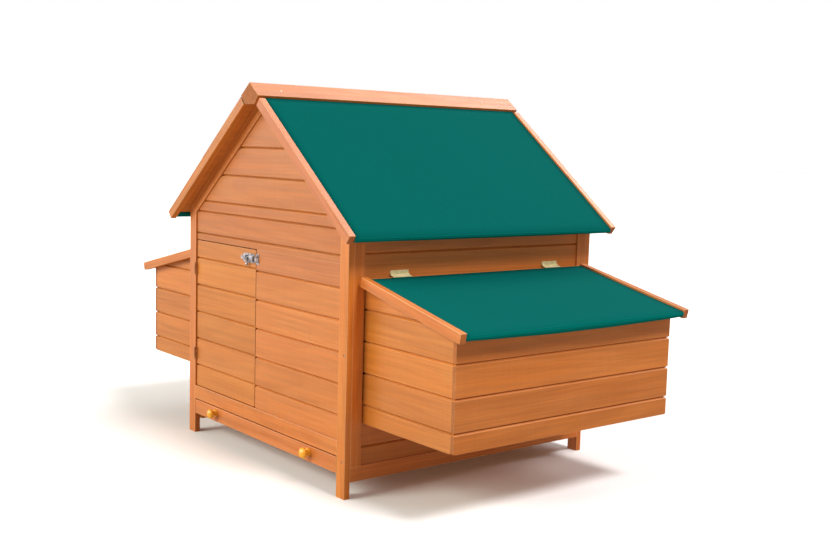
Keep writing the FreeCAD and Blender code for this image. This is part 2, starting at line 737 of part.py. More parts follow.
def build_tray():
    front_back = -(gable_inner + 1.5)
    base_top = d.tray_bottom + d.tray_floor
    keep(box("tray_front", (-d.tray_half, d.tray_half), (-(d.gable_half - 0.5), front_back),
             (d.tray_bottom, d.tray_top)), "tray_front")
    keep(box("tray_base", (-d.tray_half, d.tray_half), (front_back, d.tray_back),
             (d.tray_bottom, base_top)), "tray_base")
    side_z = (base_top, d.tray_top - 4)
    side_y = (front_back, d.tray_back - d.tray_side - d.seam)
    right = box("tray_side_right", (d.tray_half - d.tray_side, d.tray_half), side_y, side_z)
    left = box("tray_side_left", mirrored(d.tray_half - d.tray_side, d.tray_half), side_y, side_z)
    back = box("tray_back_board", (-d.tray_half, d.tray_half),
               (d.tray_back - d.tray_side, d.tray_back), side_z)
    keep(group("tray_sides", [right, left, back]), "tray_sides")
    knobs = []
    for number, out in enumerate((-d.knob_at, d.knob_at)):
        flange = rod(f"knob_flange_{number}", d.knob_radius - 3, 0, 4)
        neck = rod(f"knob_neck_{number}", d.knob_radius / 2, 3, 16)
        head = doc.addObject("Part::Ellipsoid", f"knob_head_{number}")
        bind(head, "Radius1", 9)
        bind(head, "Radius2", d.knob_radius)
        bind(head, "Radius3", d.knob_radius)
        place(head, (0, 0, 19))
        knob = fuse(f"knob_{number}", [flange, neck, head])
        knobs.append(place(knob, (out, -(d.gable_half - 0.5), d.knob_up),
                           FreeCAD.Rotation(Vector(1, 0, 0), 90)))
    keep(group("tray_knobs", knobs), "tray_knobs")
    runner_x = (d.tray_half - 10, side_inner)
    runner_y = (-gable_inner, gable_inner)
    runner_z = (d.side_rail_bottom, d.tray_bottom)
    keep(group("tray_runners", [box("runner_right", runner_x, runner_y, runner_z),
                                box("runner_left", mirrored(*runner_x), runner_y, runner_z)]),
         "tray_runners")


def build_perch():
    """A perch with eased edges that drops into two open cradles."""
    half = d.perch_wide / 2
    ease = 9
    low, high = d.perch_bottom, d.perch_bottom + d.perch_wide
    left, right = d.perch_at - half, d.perch_at + half
    outline = [(left + ease, low), (right - ease, low), (right, low + ease), (right, high - ease),
               (right - ease, high), (left + ease, high), (left, high - ease), (left, low + ease)]
    end = gable_inner - 1
    keep(prism("perch_rail", "y", outline, -end, end), "perch_rail")
    play = 0.4
    wall = 13
    cradle = [(left - wall, low - 18), (right + wall, low - 18), (right + wall, low + 22),
              (right + play, low + 22), (right + play, low), (left - play, low),
              (left - play, low + 22), (left - wall, low + 22)]
    deep = d.frame_thick
    pieces = [prism("cradle_front", "y", cradle, -gable_inner, deep - gable_inner),
              prism("cradle_back", "y", cradle, gable_inner - deep, gable_inner)]
    keep(group("perch_cradles", pieces), "perch_cradles")


def build_screws():
    """Screw heads: in the counterbores of the four posts and on the ridge timber."""
    heads = []
    radius = d.screw_head - 0.2
    for end, toward in (("front", -1), ("back", 1)):
        for side in (-1, 1):
            for number, height in enumerate(post_screw_heights):
                head = rod(f"post_screw_{end}_{side + 1}_{number}", radius, 0, d.screw_seat - 1)
                seat = (d.gable_half - d.screw_seat) * toward
                heads.append(place(head, (post_screw_out * side, seat, height),
                                   FreeCAD.Rotation(Vector(1, 0, 0), -90 * toward)))
    for side in (-1, 1):
        for number, along in enumerate((-410, 353)):
            head = rod(f"ridge_screw_{side + 1}_{number}", radius, 0, 1)
            out = 27.5
            normal = Vector(roof_sin.value * side, 0, roof_cos.value)
            heads.append(place(head, (out * side, along, roof_line(out, 0)),
                               FreeCAD.Rotation(Vector(0, 0, 1), normal)))
    keep(group("frame_screws", heads), "frame_screws")


# ---------------------------------------------------------------- assembly and export

build_front_gable()
build_back_gable()
build_side_walls()
build_ridge()
build_roof()
build_nests()
build_lids()
pins = build_lid_hinges() + build_door_hinges()
keep(group("hinge_pins", pins), "hinge_pins")
build_door()
build_latch()
build_tray()
build_perch()
build_screws()
doc.recompute()

problems = [f"{item.Name}: {item.State}" for item in doc.Objects
            if "Invalid" in item.State or "Error" in item.State]
problems += [f"{piece.Label}: no valid shape" for piece in sub_parts
             if piece.Shape.isNull() or not piece.Shape.isValid()]
if problems:
    raise RuntimeError("; ".join(problems))

os.makedirs("parts", exist_ok=True)
for piece in sub_parts:
    piece.Shape.exportStep(os.path.join("parts", f"{piece.Label}.step"))
print(len(sub_parts), "sub-parts written")
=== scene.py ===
"""Looks for the hen house: stained fir boards, green roofing felt and small hardware.

Every timber is dressed from its CAD node: boards are separated at their grooves, edges are
eased, and each piece of wood gets its own run of grain.
"""
import json
import math
import random

import bmesh
import bpy
from mathutils import Matrix, Vector, noise


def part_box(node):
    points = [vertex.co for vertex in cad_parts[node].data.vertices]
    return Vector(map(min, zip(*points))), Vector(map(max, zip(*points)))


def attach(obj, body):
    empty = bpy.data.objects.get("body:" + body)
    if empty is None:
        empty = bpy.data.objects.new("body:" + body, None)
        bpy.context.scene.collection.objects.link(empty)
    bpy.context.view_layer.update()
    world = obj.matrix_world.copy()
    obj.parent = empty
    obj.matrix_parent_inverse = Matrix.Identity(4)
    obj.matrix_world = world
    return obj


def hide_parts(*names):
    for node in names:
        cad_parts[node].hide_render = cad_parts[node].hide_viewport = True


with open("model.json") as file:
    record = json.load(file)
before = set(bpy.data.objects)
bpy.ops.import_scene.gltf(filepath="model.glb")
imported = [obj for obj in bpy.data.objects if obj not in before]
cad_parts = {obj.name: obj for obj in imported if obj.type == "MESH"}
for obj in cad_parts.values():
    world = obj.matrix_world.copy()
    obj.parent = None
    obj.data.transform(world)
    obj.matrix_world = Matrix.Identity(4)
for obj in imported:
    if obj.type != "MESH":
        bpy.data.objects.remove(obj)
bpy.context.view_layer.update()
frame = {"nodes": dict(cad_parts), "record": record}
dice = random.Random(11)

MM = 0.001
X_WAY = Vector((1, 0, 0))
Y_WAY = Vector((0, 1, 0))
Z_WAY = Vector((0, 0, 1))
BODY_OF = {node: body for body, nodes in frame["record"]["behaviour"]["bodies"].items()
           for node in nodes}
SLOT_OF = {part["node"]: part["material_slot"] for part in frame["record"]["subparts"]}


# ---------------------------------------------------------------- node graphs

def linear(red, green, blue):
    """An sRGB colour, 0 to 255, as linear RGBA."""
    def channel(value):
        value /= 255
        return value / 12.92 if value <= 0.04045 else ((value + 0.055) / 1.055) ** 2.4
    return (channel(red), channel(green), channel(blue), 1.0)


class Graph:
    """A node tree, with short calls for the nodes used here. Values may be plain or sockets."""

    def __init__(self, node_tree):
        self.nodes = node_tree.nodes
        self.links = node_tree.links

    def put(self, value, socket):
        """Links a socket, or sets a plain value."""
        if isinstance(value, bpy.types.NodeSocket):
            self.links.new(value, socket)
        else:
            socket.default_value = value

    def ray_is(self, kind):
        """1 for rays of a kind, such as Camera or Glossy, and 0 for the others."""
        return self.nodes.new("ShaderNodeLightPath").outputs[f"Is {kind} Ray"]

    def attribute(self, name, output="Fac"):
        node = self.nodes.new("ShaderNodeAttribute")
        node.attribute_name = name
        return node.outputs[output]

    def object_place(self):
        return self.nodes.new("ShaderNodeTexCoord").outputs["Object"]

    def math(self, operation, first, second=0.0):
        node = self.nodes.new("ShaderNodeMath")
        node.operation = operation
        self.put(first, node.inputs[0])
        self.put(second, node.inputs[1])
        return node.outputs[0]

    def less(self, mask, share):
        """1 where the mask is 0, falling by the share where it is 1."""
        return self.math("SUBTRACT", 1.0, self.math("MULTIPLY", mask, share))

    def vector(self, operation, first, second=(0, 0, 0), output="Vector"):
        node = self.nodes.new("ShaderNodeVectorMath")
        node.operation = operation
        self.put(first, node.inputs[0])
        self.put(second, node.inputs[1])
        return node.outputs[output]

    def scaled(self, colour, factor):
        node = self.nodes.new("ShaderNodeVectorMath")
        node.operation = "SCALE"
        self.put(colour, node.inputs[0])
        self.put(factor, node.inputs["Scale"])
        return node.outputs["Vector"]

    def noise(self, place, scale=1.0, detail=2.0, rough=0.5, output="Fac"):
        node = self.nodes.new("ShaderNodeTexNoise")
        self.put(place, node.inputs["Vector"])
        node.inputs["Scale"].default_value = scale
        node.inputs["Detail"].default_value = detail
        node.inputs["Roughness"].default_value = rough
        return node.outputs[output]

    def drawn_out(self, place, along, across, **noise_settings):
        """Noise with its own scale along the grain and across it, in changes a metre."""
        stretched = self.vector("MULTIPLY", place, (along, across, across))
        return self.noise(stretched, **noise_settings)

    def spread(self, value, low, high, to_low=0.0, to_high=1.0, smooth=True):
        """Maps low to high onto to_low to to_high, and holds the ends."""
        node = self.nodes.new("ShaderNodeMapRange")
        node.interpolation_type = "SMOOTHSTEP" if smooth else "LINEAR"
        for name, setting in (("Value", value), ("From Min", low), ("From Max", high),
                              ("To Min", to_low), ("To Max", to_high)):
            self.put(setting, node.inputs[name])
        return node.outputs["Result"]

    def mix(self, factor, first, second, blend="MIX"):
        node = self.nodes.new("ShaderNodeMix")
        node.data_type = "RGBA"
        node.blend_type = blend
        self.put(factor, node.inputs["Factor"])
        self.put(first, node.inputs["A"])
        self.put(second, node.inputs["B"])
        return node.outputs["Result"]


class Surface(Graph):
    """A new material and its graph."""

    def __init__(self, name):
        self.material = bpy.data.materials.new(name)
        self.material.use_nodes = True
        super().__init__(self.material.node_tree)
        self.shader = self.nodes["Principled BSDF"]

    def bump(self, height, distance, strength):
        node = self.nodes.new("ShaderNodeBump")
        node.inputs["Strength"].default_value = strength
        node.inputs["Distance"].default_value = distance
        self.put(height, node.inputs["Height"])
        self.put(node.outputs["Normal"], self.shader.inputs["Normal"])

    def finish(self, **sockets):
        """Sets the shader's sockets, named with _ for a space, and returns the material."""
        for name, value in sockets.items():
            self.put(value, self.shader.inputs[name.replace("_", " ")])
        return self.material


# ---------------------------------------------------------------- wood

GOLDEN = (1.0, 1.05, 0.72, 1.0)
PINK = (1.0, 0.97, 1.25, 1.0)
PALE_ARRIS = linear(232, 170, 116)
RINGS_PER_METRE = 125.0
RING_SWAY = (0, 0.030, 0.030)       # metres that the rings wander, across the grain only
RING_TAPER = (0.03, 1, 1)           # how little the rings close along the timber
KNOT_CELLS = (3.1, 11.0, 11.0)      # cells a metre that may hold a knot
KNOT_SHADE = 0.5
END_GRAIN_SHADE = 0.28
END_GRAIN_ROUGHER = 0.3
# share of pale on the eased arrises: partly wear, partly a painted highlight
ARRIS_WEAR_AND_HIGHLIGHT = 0.5
GRAIN_RELIEF = 0.35 * MM


def growth_rings(graph, place):
    """Rings round an axis off to the side, wandering slowly along the timber.

    Gives the place that they are drawn at, and the share of late wood.
    """
    slow = graph.drawn_out(place, 2.0, 9.0, output="Color")
    centred = graph.vector("SUBTRACT", slow, (0.5, 0.5, 0.5))
    sway = graph.vector("MULTIPLY", centred, RING_SWAY)
    bent = graph.vector("ADD", place, sway)
    tapered = graph.vector("MULTIPLY", bent, RING_TAPER)
    radius = graph.vector("LENGTH", tapered, output="Value")
    turn = graph.math("FRACT", graph.math("MULTIPLY", radius, RINGS_PER_METRE))
    slow_rise = graph.spread(turn, 0.25, 0.86)
    quick_fall = graph.spread(turn, 0.90, 1.0, 1.0, 0.0)
    return bent, graph.math("MULTIPLY", slow_rise, quick_fall)


def sparse_knots(graph, place):
    """Small dark dots in a few cells of a stretched cell pattern."""
    cells = graph.nodes.new("ShaderNodeTexVoronoi")
    graph.put(graph.vector("MULTIPLY", place, KNOT_CELLS), cells.inputs["Vector"])
    cells.inputs["Scale"].default_value = 1.0
    chosen = graph.spread(cells.outputs["Color"], 0.80, 0.82)
    core = graph.spread(cells.outputs["Distance"], 0.05, 0.16, 1.0, 0.0)
    return graph.math("MULTIPLY", core, chosen)


def wood(name, light, dark, pale, figure, rough):
    """Stained fir. The grain runs along X of the "grain" attribute, in metres.

    figure sets how strongly rings and streaks show. "tone" and "blush" vary from board to
    board, "edge" marks eased arrises and "cut" marks end grain.
    """
    graph = Surface(name)
    place = graph.attribute("grain", "Vector")
    end_grain = graph.attribute("cut")
    bent, late = growth_rings(graph, place)
    knot = sparse_knots(graph, bent)
    fibre = graph.drawn_out(place, 5.0, 260.0, detail=3.0, rough=0.6)
    streak = graph.drawn_out(place, 1.8, 60.0, detail=3.0, rough=0.55)
    vein = graph.drawn_out(place, 1.2, 150.0)
    patch = graph.drawn_out(place, 3.5, 11.0, detail=3.0, rough=0.6)
    planing = graph.drawn_out(place, 170.0, 6.0, detail=1.0)

    ring_shade = graph.math("MULTIPLY", late, graph.spread(patch, 0.35, 0.65, 0.10, 0.42 * figure))
    colour = graph.mix(ring_shade, light, dark)
    colour = graph.mix(graph.spread(patch, 0.38, 0.68, 0.0, 0.45), colour, pale)
    colour = graph.mix(graph.spread(vein, 0.52, 0.70, 0.0, 0.40 * figure), colour, pale)
    tint = graph.mix(graph.attribute("blush"), GOLDEN, PINK)
    colour = graph.mix(1.0, colour, tint, "MULTIPLY")
    # Eased arrises are mixed toward a pale colour: partly wear, partly a painted highlight on the
    # arrises.
    wear_and_highlight = graph.math("MULTIPLY", graph.attribute("edge"), ARRIS_WEAR_AND_HIGHLIGHT)
    colour = graph.mix(wear_and_highlight, colour, PALE_ARRIS)

    level = 1.0
    for factor in (graph.spread(fibre, 0.30, 0.72, 1.0 - 0.10 * figure, 1.0 + 0.07 * figure),
                   graph.spread(streak, 0.30, 0.70, 1.0 - 0.13 * figure, 1.0 + 0.08 * figure),
                   graph.spread(planing, 0.35, 0.65, 0.985, 1.015),
                   graph.spread(graph.attribute("tone"), 0.0, 1.0, 0.88, 1.10, smooth=False),
                   graph.less(knot, KNOT_SHADE),
                   graph.less(end_grain, END_GRAIN_SHADE)):
        level = graph.math("MULTIPLY", level, factor)

    raised_rings = graph.math("MULTIPLY", late, 0.5)
    raised_fibres = graph.math("MULTIPLY", fibre, 0.8)
    graph.bump(graph.math("ADD", raised_rings, raised_fibres), GRAIN_RELIEF, 0.5 * figure)
    dullness = graph.math("ADD", graph.spread(fibre, 0.3, 0.7, rough - 0.05, rough + 0.08),
                          graph.math("MULTIPLY", end_grain, END_GRAIN_ROUGHER))
    return graph.finish(Base_Color=graph.scaled(colour, level), Roughness=dullness,
                        Specular_IOR_Level=0.5)


WOODS = {
    "stained_frame": wood("wood_frame", linear(204, 114, 46), linear(166, 76, 26),
                          linear(214, 136, 74), figure=0.9, rough=0.40),
    "stained_board": wood("wood_board", linear(203, 117, 46), linear(174, 88, 30),
                          linear(209, 130, 64), figure=0.75, rough=0.42),
    "stained_inner": wood("wood_inner", linear(198, 118, 54), linear(162, 82, 32),
                          linear(208, 136, 78), figure=0.9, rough=0.58),
}


# ---------------------------------------------------------------- felt, metal and lacquer

FELT_DARK = linear(0, 87, 82)
FELT_LIGHT = linear(0, 93, 88)
FELT_CLOUD = linear(0, 90, 86)
FELT_GRIT = linear(4, 102, 94)
FELT_FOLD_PAINTED_LIGHT = linear(0, 110, 103)
FELT_RELIEF = 0.4 * MM


def felt():
    """Mineral-faced roofing felt: fine grit on a green sheet, painted paler along the fold as
    painted light on the hem.
    """
    graph = Surface("felt_green")
    place = graph.object_place()
    grit = graph.noise(place, scale=900.0, detail=2.0, rough=0.7)
    speck = graph.noise(place, scale=330.0, detail=3.0, rough=0.6)
    cloud = graph.noise(place, scale=5.0, detail=3.0, rough=0.55)
    colour = graph.mix(graph.spread(speck, 0.35, 0.65), FELT_DARK, FELT_LIGHT)
    colour = graph.mix(graph.spread(cloud, 0.35, 0.65, 0.0, 0.3), colour, FELT_CLOUD)
    colour = graph.mix(graph.spread(grit, 0.66, 0.76, 0.0, 0.22), colour, FELT_GRIT)
    # The fold is mixed toward a paler green: painted light that keeps the downward-facing hem about
    # as bright as the top.
    fold_painted_light = graph.math("MULTIPLY", graph.attribute("fold"), 0.8)
    colour = graph.mix(fold_painted_light, colour, FELT_FOLD_PAINTED_LIGHT)
    height = graph.math("ADD", grit, graph.math("MULTIPLY", speck, 0.5))
    graph.bump(height, FELT_RELIEF, 0.3)
    return graph.finish(Base_Color=colour, Roughness=0.95, Specular_IOR_Level=0.02)


def metal(name, bright, dull, rough, metallic):
    """Plated steel with faint clouds and fine scratches."""
    graph = Surface(name)
    place = graph.object_place()
    cloud = graph.noise(place, scale=90.0, detail=3.0, rough=0.6)
    brushed = graph.vector("MULTIPLY", place, (0.15, 1.0, 1.0))
    scratch = graph.noise(brushed, scale=900.0, detail=2.0)
    colour = graph.mix(graph.spread(cloud, 0.35, 0.7), bright, dull)
    dullness = graph.math("ADD", graph.spread(scratch, 0.3, 0.7, rough - 0.08, rough + 0.10),
                          graph.spread(cloud, 0.4, 0.7, 0.0, 0.08))
    graph.bump(scratch, 0.04 * MM, 0.5)
    return graph.finish(Base_Color=colour, Roughness=dullness, Metallic=metallic)


def lacquer():
    """Turned beech under a thick amber lacquer."""
    graph = Surface("knob_lacquer")
    lengthwise = graph.vector("MULTIPLY", graph.object_place(), (260.0, 40.0, 260.0))
    figure = graph.noise(lengthwise, detail=3.0)
    colour = graph.mix(graph.spread(figure, 0.3, 0.7), linear(252, 186, 52), linear(236, 156, 30))
    graph.bump(figure, 0.1 * MM, 0.3)
    return graph.finish(Base_Color=colour, Roughness=0.38, Coat_Weight=0.6, Coat_Roughness=0.12)


FELT = felt()
ZINC = metal("zinc_plate", linear(222, 218, 226), linear(120, 120, 128), rough=0.28, metallic=0.85)
SCREWS = metal("screw_plate", linear(206, 186, 160), linear(150, 132, 112), rough=0.4, metallic=0.5)
STAINED_BRASS = metal("stained_brass", linear(206, 150, 104), linear(180, 122, 78),
                      rough=0.5, metallic=0.3)
BRASS = metal("brass_plate", linear(240, 230, 184), linear(222, 210, 158), rough=0.45, metallic=0.3)
LACQUER = lacquer()


# ---------------------------------------------------------------- meshes from CAD nodes

FLAT_ANGLE = math.radians(0.6)      # faces that turn less than this count as one


def mesh_of(node):
    """A working copy of a CAD node's mesh, in one piece where its faces meet."""
    whole = bmesh.new()
    whole.from_mesh(frame["nodes"][node].data)
    bmesh.ops.remove_doubles(whole, verts=whole.verts, dist=1e-6)
    return whole


def merge_flat(shape):
    """Joins the triangles of each flat face."""
    bmesh.ops.dissolve_limit(shape, angle_limit=FLAT_ANGLE, verts=shape.verts, edges=shape.edges)


def add_piece(name, shape, material, stands_for):
    """Makes an object of a mesh, on the body and slot of the CAD node that it belongs to."""
    mesh = bpy.data.meshes.new(name)
    shape.to_mesh(mesh)
    shape.free()
    mesh.materials.append(material)
    piece = bpy.data.objects.new(name, mesh)
    bpy.context.scene.collection.objects.link(piece)
    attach(piece, BODY_OF[stands_for])
    return piece


def islands_of(shape):
    """Lists of vertices that hang together, in the mesh's own order, so that each run is alike."""
    found = set()
    for first in shape.verts:
        if first in found:
            continue
        found.add(first)
        island = [first]
        for vert in island:
            for edge in vert.link_edges:
                other = edge.other_vert(vert)
                if other not in found:
                    found.add(other)
                    island.append(other)
        yield island


def middle_of(island):
    return sum((vert.co for vert in island), Vector()) / len(island)


def run_of(island):
    """The way a timber runs: along its longest edge."""
    edges = [edge for vert in island for edge in vert.link_edges]
    longest = max(edges, key=lambda edge: edge.calc_length())
    return (longest.verts[1].co - longest.verts[0].co).normalized()


def slope_down(node):
    """Unit vector down a roof or lid slope, from its highest point to its outermost one."""
    low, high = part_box(node)
    outward = 1 if low.x + high.x > 0 else -1
    corners = [vert.co for vert in frame["nodes"][node].data.vertices]
    top = max(corners, key=lambda corner: corner.z)
    far = max(corners, key=lambda corner: (round(corner.x * outward, 5), corner.z))
    return Vector((far.x - top.x, 0, far.z - top.z)).normalized()


# ---------------------------------------------------------------- dressing timber

GROOVE_STEPS = (3.5 * MM, 1.4 * MM, 3.5 * MM)
STEP_SLACK = 0.08 * MM
JOINT = 0.12 * MM                   # what each board gives up where two of them meet
SHORTEST_EASED = 14 * MM
SHARP = math.radians(20)
BLUNT = 0.3                         # how far a raking end leans, as a cosine, to be cut deeper
ALONG_Z = 0.95                      # the cosine from which a timber counts as upright
END_GRAIN = 0.8                     # the cosine from which a face shows end grain
# metres that a timber's grain is moved along, across and through it, so that no two are alike
GRAIN_SHIFTS = ((-9, 9), (-0.055, 0.055), (0.01, 0.07))


def groove_places(panel, across):
    """Where the boards of a panel meet, read from the steps of its groove profile."""
    spots = sorted({round(vert.co.dot(across), 5) for vert in panel.verts})
    places = []
    for run in zip(spots, spots[1:], spots[2:], spots[3:]):
        steps = [after - before for before, after in zip(run, run[1:])]
        if all(abs(step - want) < STEP_SLACK for step, want in zip(steps, GROOVE_STEPS)):
            places.append((run[0] + run[3]) / 2)
    return places


def slice_off(shape, across, place, keep_above):
    """Cuts a mesh square across at a place, closes it and keeps one side."""
    bmesh.ops.bisect_plane(
        shape, geom=shape.verts[:] + shape.edges[:] + shape.faces[:], dist=1e-7,
        plane_co=across * place, plane_no=across, clear_inner=keep_above,
        clear_outer=not keep_above)
    rim = [edge for edge in shape.edges if edge.is_boundary]
    bmesh.ops.holes_fill(shape, edges=rim, sides=0)


def boards_of(panel, across):
    """The mesh cut into separate boards."""
    limits = [None, *groove_places(panel, across), None]
    boards = []
    for low, high in zip(limits, limits[1:]):
        board = panel.copy()
        if low is not None:
            slice_off(board, across, low + JOINT, True)
        if high is not None:
            slice_off(board, across, high - JOINT, False)
        boards.append(board)
    return boards


def clip_corners(board, along, across, size):
    """Takes the corners off a board's ends, so that each groove ends in a small notch.

    A blunt corner, as at the top of a raking end, is cut twice as deep.
    """
    for end in (-1, 1):
        board.normal_update()
        end_face = max(board.faces,
                       key=lambda face: face.normal.dot(along * end) * face.calc_area())
        facing = end_face.normal.copy()
        for flank in (-1, 1):
            outward = (facing + across * flank).normalized()
            reach = max(vert.co.dot(outward) for vert in board.verts)
            blunt = facing.dot(across) * flank > BLUNT
            slice_off(board, outward, reach - size * (2 if blunt else 1), False)


def ease_edges(shape, width):
    """Rounds the long outer edges and marks the rounded faces."""
    mark = shape.faces.layers.float.new("edge")
    merge_flat(shape)
    edges = [edge for edge in shape.edges
             if edge.is_manifold and edge.is_convex and edge.calc_length() > SHORTEST_EASED
             and edge.calc_face_angle() > SHARP]
    made = bmesh.ops.bevel(shape, geom=edges, offset=width, segments=2, profile=0.65,
                           affect="EDGES", clamp_overlap=True)
    for face in made["faces"]:
        face[mark] = 1.0


def from_low_to_high(island):
    """Sorts timbers by height, then by depth and width."""
    return tuple(round(place, 4) for place in reversed(middle_of(island)))


def lay_grain(shape, along, tones, blushes, lean):
    """Gives each timber its own grain coordinates, tone and end grain.

    lean makes the timbers on the right pinker and the ones on the left more golden.
    """
    grain = shape.verts.layers.float_vector.new("grain")
    tone = shape.verts.layers.float.new("tone")
    blush = shape.verts.layers.float.new("blush")
    cut = shape.faces.layers.float.new("cut")
    for island in sorted(islands_of(shape), key=from_low_to_high):
        run = along or run_of(island)
        upright = abs(run.z) > ALONG_Z
        side = run.orthogonal().normalized() if upright else run.cross(Z_WAY).normalized()
        through = run.cross(side)
        middle = middle_of(island)
        shift = Vector([dice.uniform(*limits) for limits in GRAIN_SHIFTS])
        shade = dice.uniform(*tones)
        hue = dice.uniform(*blushes) + math.copysign(lean, middle.x)
        for vert in island:
            place = vert.co - middle
            vert[grain] = Vector((place.dot(run), place.dot(side), place.dot(through))) + shift
            vert[tone] = shade
            vert[blush] = hue
            for face in vert.link_faces:
                face[cut] = 1.0 if abs(face.normal.dot(run)) > END_GRAIN else 0.0


def dress(node, across=None, along=None, ease=1.3, tones=(0.15, 0.85), blushes=(0.3, 0.7),
          corner=0.0, lean=0.0):
    """Replaces a wooden CAD node by eased timbers with grain; across splits it into boards.

    ease and corner are in millimetres. tones and blushes are ranges, from dark to light and
    from golden to pink. along is each timber's longest edge unless it is given.
    """
    whole = mesh_of(node)
    pieces = boards_of(whole, across) if across else [whole]
    scrap = bpy.data.meshes.new("scrap")
    joined = bmesh.new()
    for piece in pieces:
        if corner:
            clip_corners(piece, along, across, corner * MM)
        ease_edges(piece, ease * MM)
        piece.to_mesh(scrap)
        joined.from_mesh(scrap)
        piece.free()
    bpy.data.meshes.remove(scrap)
    joined.normal_update()
    lay_grain(joined, along, tones, blushes, lean)
    timber = add_piece(f"{node}_timber", joined, WOODS[SLOT_OF[node]], node)
    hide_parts(node)


# ---------------------------------------------------------------- dressing felt

FELT_STEP = 30 * MM                 # size of the cells that let a sheet lie unevenly
FOLD_ROUND = 2.6 * MM
SHORTEST_FOLD = 0.5                 # metres, so that a sheet's short edges aren't taken for folds
FOLD_ANGLES = (math.radians(40), math.radians(50))
FOLD_ROOM = 8 * MM                  # stretch beside the fold that isn't cut into cells
PAINTED_LIGHT_ON_TOP = 3 * MM              # width of the painted light along the fold, on top and below
PAINTED_LIGHT_BELOW = 6 * MM
TOP_DEPTH = 3 * MM                  # points less deep than this are on top of the slope
RETURN_DEPTH = 7 * MM               # points deeper than this are turned under the eave
TOP_WAVES = ((7.0, 0.5), (21.0, 0.18))      # waves a metre, and their height in millimetres
DEEPEST_WAVE = -0.3                 # millimetres
RETURN_WAVES = 9.0                  # waves a metre


def round_folds(sheet):
    """Rounds the long bends over the eave."""
    folds = [edge for edge in sheet.edges
             if edge.is_convex and edge.calc_length() > SHORTEST_FOLD
             and FOLD_ANGLES[0] < edge.calc_face_angle() < FOLD_ANGLES[1]]
    bmesh.ops.bevel(sheet, geom=folds, offset=FOLD_ROUND, segments=3, affect="EDGES",
                    clamp_overlap=True)


def cut_cells(sheet, way, first, last):
    """Cuts a sheet into even strips along a way, from a first place to a last one."""
    count = round((last - first) / FELT_STEP)
    for number in range(1, count):
        spot = way * (first + (last - first) * number / count)
        bmesh.ops.bisect_plane(sheet, geom=sheet.verts[:] + sheet.edges[:] + sheet.faces[:],
                               dist=1e-7, plane_co=spot, plane_no=way)


def dress_felt(node, cut, sag):
    """Replaces a felt node by a sheet with a rounded fold that lies very slightly uneven.

    cut, the flat size in metres, is not used. sag is how far, in millimetres, the part that is
    turned under hangs slack halfway between the end battens.
    """
    sheet = mesh_of(node)
    merge_flat(sheet)
    down = slope_down(node)
    normal = down.cross(Y_WAY)
    normal *= 1 if normal.z > 0 else -1
    fold_end = max(vert.co.dot(down) for vert in sheet.verts)
    surface = max(vert.co.dot(normal) for vert in sheet.verts)
    round_folds(sheet)
    low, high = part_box(node)
    ridge_end = min(vert.co.dot(down) for vert in sheet.verts)
    cut_cells(sheet, Y_WAY, low.y, high.y)
    cut_cells(sheet, down, ridge_end, fold_end - FOLD_ROOM)
    fold = sheet.verts.layers.float.new("fold")
    for vert in sheet.verts:
        depth = surface - vert.co.dot(normal)
        to_fold = fold_end - vert.co.dot(down)
        # Points near the fold are marked for the painted light on the felt.
        painted_light = to_fold < PAINTED_LIGHT_ON_TOP or depth > TOP_DEPTH and to_fold < PAINTED_LIGHT_BELOW
        vert[fold] = 1.0 if painted_light else 0.0
        if depth < TOP_DEPTH:
            lift = sum(noise.noise(vert.co * often) * height for often, height in TOP_WAVES)
            vert.co += normal * max(lift, DEEPEST_WAVE) * MM
        elif depth > RETURN_DEPTH:
            slack = 1 - (vert.co.y / high.y) ** 2
            vert.co -= normal * slack * (sag + noise.noise(vert.co * RETURN_WAVES)) * MM
    for face in sheet.faces:
        face.smooth = True
    piece = add_piece(f"{node}_sheet", sheet, FELT, node)
    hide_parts(node)


# ---------------------------------------------------------------- hinge screws

SCREW_RADIUS = 2.6 * MM
SCREW_OFFSET = 19 * MM              # from the middle of a hinge leaf to each of its screws
HEAD_PROFILE = ((1.0, 0.0), (0.97, 0.18), (0.80, 0.36))     # size and height, in radii
RECESS_FLOOR = 0.10
CROSS_ARM = 0.55
CROSS_HALF = 0.14
HEAD_SIDES = 20


def circle(size):
    turns = [math.tau * number / HEAD_SIDES for number in range(HEAD_SIDES)]
    return [(size * math.cos(turn), size * math.sin(turn)) for turn in turns]


def cross_outline():
    """A cross with four square arms, three points to each arm."""
    points = []
    for quarter in range(4):
        cos = round(math.cos(quarter * math.pi / 2))
        sin = round(math.sin(quarter * math.pi / 2))
        for x, y in ((CROSS_ARM, -CROSS_HALF), (CROSS_ARM, CROSS_HALF), (CROSS_HALF, CROSS_HALF)):
            points.append((x * cos - y * sin, x * sin + y * cos))
    return points


def join_rings(shape, lower, upper):
    """Faces between two rings of as many points."""
    for number in range(len(lower)):
        shape.faces.new((lower[number], lower[number - 1], upper[number - 1], upper[number]))


def screw_head(shape, place, normal, along, radius):
    """A low round head with a cross recess."""
    across = normal.cross(along)

    def ring(points, height):
        return [shape.verts.new(place + along * (x * radius) + across * (y * radius)
                                + normal * (height * radius)) for x, y in points]

    rims = [ring(circle(size), height) for size, height in HEAD_PROFILE]
    for lower, upper in zip(rims, rims[1:]):
        join_rings(shape, lower, upper)
    head_height = HEAD_PROFILE[-1][1]
    mouth = ring(cross_outline(), head_height)
    floor = ring(cross_outline(), RECESS_FLOOR)
    join_rings(shape, mouth, floor)
    shape.faces.new(floor)
    rim_edges = [shape.edges.get((loop[number - 1], loop[number])) for loop in (rims[-1], mouth)
                 for number in range(len(loop))]
    bmesh.ops.triangle_fill(shape, edges=rim_edges, use_beauty=True)
    shape.faces.new(list(reversed(rims[0])))


